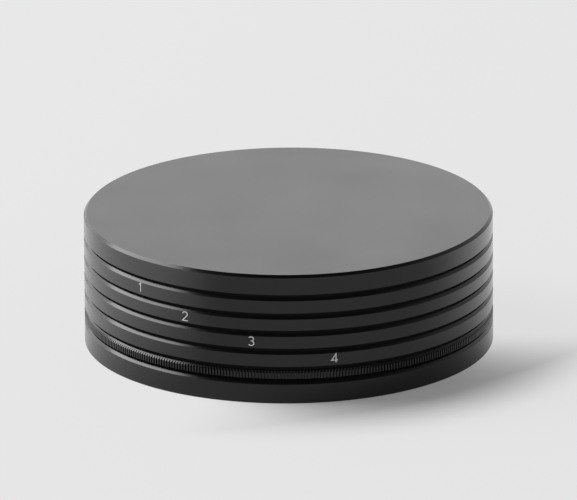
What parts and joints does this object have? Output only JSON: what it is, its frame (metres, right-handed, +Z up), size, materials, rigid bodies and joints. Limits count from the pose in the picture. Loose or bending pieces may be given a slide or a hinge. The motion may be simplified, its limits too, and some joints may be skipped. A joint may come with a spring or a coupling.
{
  "type": "camera filter kit",
  "caption": "Stack of magnetic round camera filters between two metal caps: screw-in knurled adapter, clear, dark grey and light grey filters and a turning polariser.",
  "frame": {"origin": "centre of the base cap's flat underside, on the stack's axis", "axes": "+Z up the stack's axis towards the top cap; X and Y are any two square directions across it"},
  "size_m": [0.082, 0.082, 0.0268],
  "materials": {
    "black_anodised": "satin black anodised, turned",
    "cap_anodised": "satin black anodised, fine bead-blasted",
    "clear_glass": "polished, coated",
    "dark_glass": "polished, near black",
    "grey_glass": "polished, grey",
    "polariser_glass": "polished, coated",
    "polariser_film": "grey polarising film",
    "steel": "dark plated steel",
    "magnet": "nickel plated",
    "liner": "black microfibre"
  },
  "bodies": {
    "base": {"base_cap": "black_anodised", "base_liner": "liner"},
    "adapter": {"adapter_ring": "black_anodised", "adapter_keeper": "steel"},
    "uv": {"uv_frame": "black_anodised", "uv_glass": "clear_glass", "uv_retaining_ring": "black_anodised", "uv_keeper": "steel", "uv_magnets": "magnet"},
    "dark_nd": {"dark_nd_frame": "black_anodised", "dark_nd_glass": "dark_glass", "dark_nd_retaining_ring": "black_anodised", "dark_nd_keeper": "steel", "dark_nd_magnets": "magnet"},
    "light_nd": {"light_nd_frame": "black_anodised", "light_nd_glass": "grey_glass", "light_nd_retaining_ring": "black_anodised", "light_nd_keeper": "steel", "light_nd_magnets": "magnet"},
    "polariser_seat": {"polariser_seat_ring": "black_anodised", "polariser_magnets": "magnet", "polariser_snap_ring": "steel"},
    "polariser": {"polariser_frame": "black_anodised", "polariser_rear_glass": "polariser_glass", "polariser_film": "polariser_film", "polariser_front_glass": "polariser_glass", "polariser_retaining_ring": "black_anodised", "polariser_keeper": "steel"},
    "top_cap": {"top_cap": "cap_anodised", "top_cap_magnets": "magnet", "top_cap_liner": "liner"}
  },
  "joints": [
    {"name": "adapter_lift", "type": "slide", "parent": "base", "child": "adapter", "axis": [0, 0, 1], "range_m": [0, 0.012]},
    {"name": "uv_lift", "type": "slide", "parent": "adapter", "child": "uv", "axis": [0, 0, 1], "range_m": [0, 0.012]},
    {"name": "dark_nd_lift", "type": "slide", "parent": "uv", "child": "dark_nd", "axis": [0, 0, 1], "range_m": [0, 0.012]},
    {"name": "light_nd_lift", "type": "slide", "parent": "dark_nd", "child": "light_nd", "axis": [0, 0, 1], "range_m": [0, 0.012]},
    {"name": "polariser_lift", "type": "slide", "parent": "light_nd", "child": "polariser_seat", "axis": [0, 0, 1], "range_m": [0, 0.012]},
    {"name": "polariser_turn", "type": "hinge", "parent": "polariser_seat", "child": "polariser", "pos_m": [0, 0, 0.01875], "axis": [0, 0, 1], "continuous": true},
    {"name": "top_cap_lift", "type": "slide", "parent": "polariser", "child": "top_cap", "axis": [0, 0, 1], "range_m": [0, 0.012]}
  ]
}
